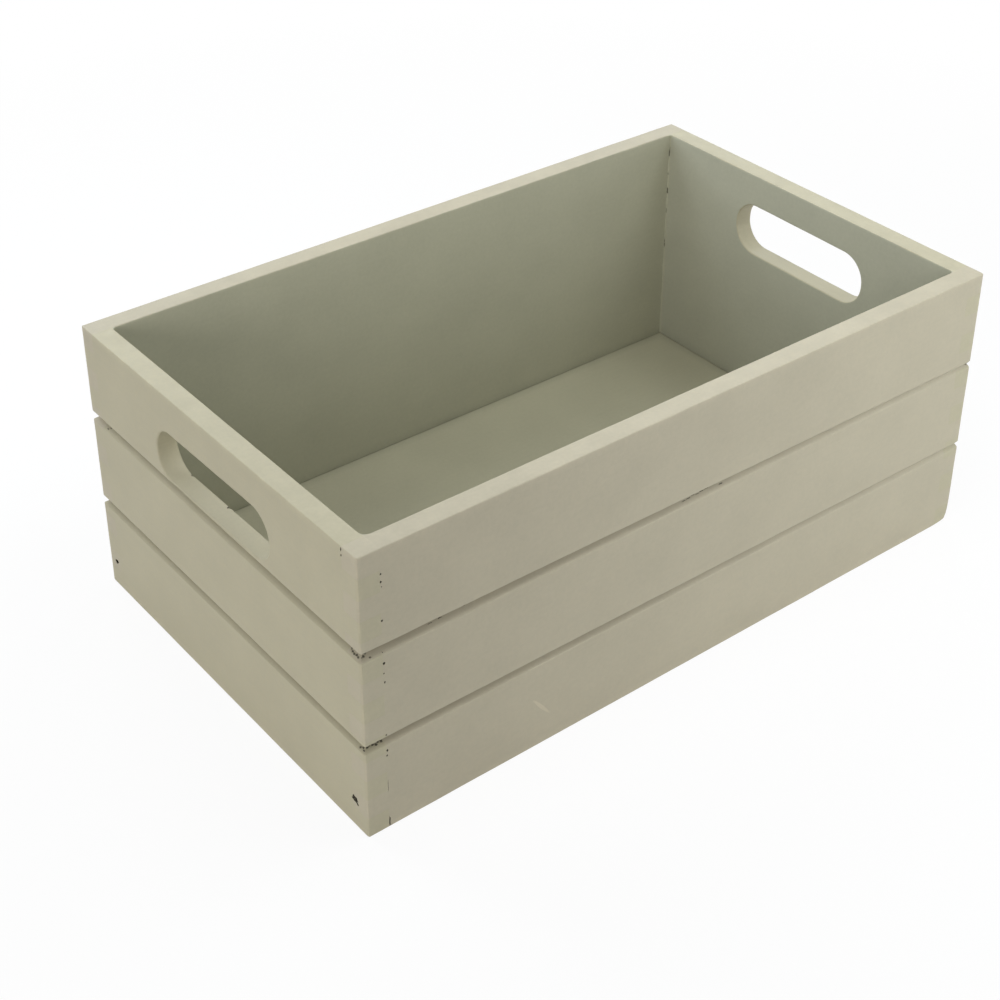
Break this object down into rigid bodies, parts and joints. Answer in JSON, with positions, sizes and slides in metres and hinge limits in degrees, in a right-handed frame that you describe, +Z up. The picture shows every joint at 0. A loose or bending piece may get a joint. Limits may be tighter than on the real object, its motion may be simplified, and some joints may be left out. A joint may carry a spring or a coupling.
{
  "type": "wooden storage box",
  "caption": "Open rectangular wooden storage box with comb-jointed corners, walls grooved to look like planks, an inset base and a hand slot through each end.",
  "frame": {"origin": "middle of the footprint, on the surface that the box stands on", "axes": "+X along the long walls towards the right end wall, +Y from the front wall to the back wall, +Z up"},
  "size_m": [0.264, 0.16, 0.105],
  "materials": {
    "wall_paint": "matt sage-khaki paint on wood",
    "panel_paint": "matt sage-khaki paint on thin wood panel"
  },
  "bodies": {
    "root": {"front_wall": "wall_paint", "back_wall": "wall_paint", "left_end_wall": "wall_paint", "right_end_wall": "wall_paint", "base_panel": "panel_paint"}
  },
  "joints": []
}
